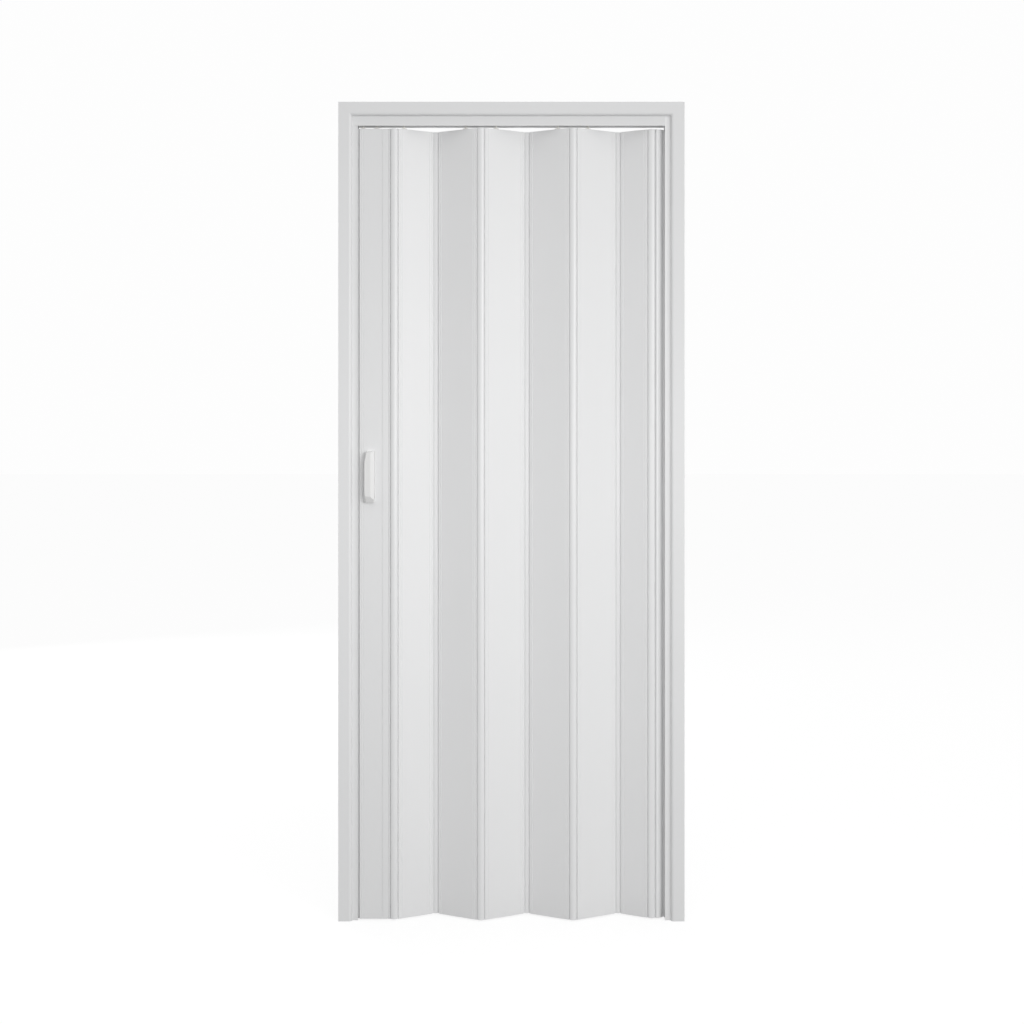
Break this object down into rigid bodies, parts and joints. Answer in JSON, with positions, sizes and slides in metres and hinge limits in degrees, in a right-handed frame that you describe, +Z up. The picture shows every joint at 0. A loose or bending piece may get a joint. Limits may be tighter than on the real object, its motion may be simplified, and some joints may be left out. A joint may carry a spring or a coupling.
{
  "type": "accordion door",
  "caption": "Folding accordion door of hollow slats and hinge strips, hung from a slotted rail between cased jambs, with a pull handle on each side.",
  "frame": {"origin": "bottom centre of the whole door's box, on the floor, halfway through its depth with the leaf closed", "axes": "+X to the right seen from the front, -Y towards the front (the cased side with the front handle), +Z up"},
  "size_m": [0.9, 0.0714, 2.13],
  "materials": {
    "frame_pvc": "white rigid PVC, satin, fine extrusion lines",
    "slat_pvc": "white rigid PVC slats, satin, faintly waved face",
    "strip_pvc": "white softer PVC hinge strip, satin",
    "handle_plastic": "moulded white plastic, soft gloss",
    "glide_nylon": "natural nylon",
    "steel": "zinc plated steel",
    "magnet": "dark flexible magnet strip"
  },
  "bodies": {
    "frame": {"casing_left": "frame_pvc", "casing_right": "frame_pvc", "casing_head": "frame_pvc", "strike_jamb": "frame_pvc", "hinge_jamb": "frame_pvc", "top_rail": "frame_pvc", "strike_strip": "steel", "end_profile": "frame_pvc", "hinge_strip_front_4": "strip_pvc"},
    "narrow_slat": {"narrow_slat": "slat_pvc"},
    "back_strip_3": {"hinge_strip_back_3": "strip_pvc"},
    "slat_5": {"slat_5": "slat_pvc", "glide_5": "glide_nylon"},
    "front_strip_3": {"hinge_strip_front_3": "strip_pvc"},
    "slat_4": {"slat_4": "slat_pvc", "glide_4": "glide_nylon"},
    "back_strip_2": {"hinge_strip_back_2": "strip_pvc"},
    "slat_3": {"slat_3": "slat_pvc", "glide_3": "glide_nylon"},
    "front_strip_2": {"hinge_strip_front_2": "strip_pvc"},
    "slat_2": {"slat_2": "slat_pvc", "glide_2": "glide_nylon"},
    "back_strip_1": {"hinge_strip_back_1": "strip_pvc"},
    "slat_1": {"slat_1": "slat_pvc", "glide_1": "glide_nylon"},
    "front_strip_1": {"hinge_strip_front_1": "strip_pvc"},
    "lead_leg": {"lead_leg": "frame_pvc"},
    "lead_post": {"lead_post": "frame_pvc", "magnet_strip": "magnet", "handle_front": "handle_plastic", "handle_back": "handle_plastic", "handle_screws": "steel", "lead_glide_left": "glide_nylon", "lead_glide_right": "glide_nylon"}
  },
  "joints": [
    {"name": "narrow_slat_fold", "type": "hinge", "parent": "frame", "child": "narrow_slat", "pos_m": [0.3615, -0.00817, 1.0335], "axis": [0, 0, -1], "range_deg": [0, 58]},
    {"name": "back_strip_3_turn", "type": "hinge", "parent": "narrow_slat", "child": "back_strip_3", "pos_m": [0.28513, 0.03074, 1.0335], "axis": [0, 0, 1], "range_deg": [0, 58]},
    {"name": "slat_5_turn", "type": "hinge", "parent": "back_strip_3", "child": "slat_5", "pos_m": [0.27613, 0.03074, 1.0335], "axis": [0, 0, 1], "range_deg": [0, 58]},
    {"name": "front_strip_3_turn", "type": "hinge", "parent": "slat_5", "child": "front_strip_3", "pos_m": [0.16501, -0.02588, 1.0335], "axis": [0, 0, -1], "range_deg": [0, 58]},
    {"name": "slat_4_turn", "type": "hinge", "parent": "front_strip_3", "child": "slat_4", "pos_m": [0.15601, -0.02588, 1.0335], "axis": [0, 0, -1], "range_deg": [0, 58]},
    {"name": "back_strip_2_turn", "type": "hinge", "parent": "slat_4", "child": "back_strip_2", "pos_m": [0.04489, 0.03074, 1.0335], "axis": [0, 0, 1], "range_deg": [0, 58]},
    {"name": "slat_3_turn", "type": "hinge", "parent": "back_strip_2", "child": "slat_3", "pos_m": [0.03589, 0.03074, 1.0335], "axis": [0, 0, 1], "range_deg": [0, 58]},
    {"name": "front_strip_2_turn", "type": "hinge", "parent": "slat_3", "child": "front_strip_2", "pos_m": [-0.07523, -0.02588, 1.0335], "axis": [0, 0, -1], "range_deg": [0, 58]},
    {"name": "slat_2_turn", "type": "hinge", "parent": "front_strip_2", "child": "slat_2", "pos_m": [-0.08423, -0.02588, 1.0335], "axis": [0, 0, -1], "range_deg": [0, 58]},
    {"name": "back_strip_1_turn", "type": "hinge", "parent": "slat_2", "child": "back_strip_1", "pos_m": [-0.19534, 0.03074, 1.0335], "axis": [0, 0, 1], "range_deg": [0, 58]},
    {"name": "slat_1_turn", "type": "hinge", "parent": "back_strip_1", "child": "slat_1", "pos_m": [-0.20434, 0.03074, 1.0335], "axis": [0, 0, 1], "range_deg": [0, 58]},
    {"name": "front_strip_1_turn", "type": "hinge", "parent": "slat_1", "child": "front_strip_1", "pos_m": [-0.30121, -0.01861, 1.0335], "axis": [0, 0, -1], "range_deg": [0, 58]},
    {"name": "lead_leg_turn", "type": "hinge", "parent": "front_strip_1", "child": "lead_leg", "pos_m": [-0.31021, -0.01861, 1.0335], "axis": [0, 0, -1], "range_deg": [0, 58]},
    {"name": "lead_post_turn", "type": "hinge", "parent": "lead_leg", "child": "lead_post", "pos_m": [-0.3307, -0.00817, 1.0335], "axis": [0, 0, 1], "range_deg": [0, 58]}
  ],
  "couplings": [
    {"joint": "narrow_slat_fold", "follows": "lead_post_turn", "ratio": 1},
    {"joint": "back_strip_3_turn", "follows": "lead_post_turn", "ratio": 1},
    {"joint": "slat_5_turn", "follows": "lead_post_turn", "ratio": 1},
    {"joint": "front_strip_3_turn", "follows": "lead_post_turn", "ratio": 1},
    {"joint": "slat_4_turn", "follows": "lead_post_turn", "ratio": 1},
    {"joint": "back_strip_2_turn", "follows": "lead_post_turn", "ratio": 1},
    {"joint": "slat_3_turn", "follows": "lead_post_turn", "ratio": 1},
    {"joint": "front_strip_2_turn", "follows": "lead_post_turn", "ratio": 1},
    {"joint": "slat_2_turn", "follows": "lead_post_turn", "ratio": 1},
    {"joint": "back_strip_1_turn", "follows": "lead_post_turn", "ratio": 1},
    {"joint": "slat_1_turn", "follows": "lead_post_turn", "ratio": 1},
    {"joint": "front_strip_1_turn", "follows": "lead_post_turn", "ratio": 1},
    {"joint": "lead_leg_turn", "follows": "lead_post_turn", "ratio": 1}
  ]
}
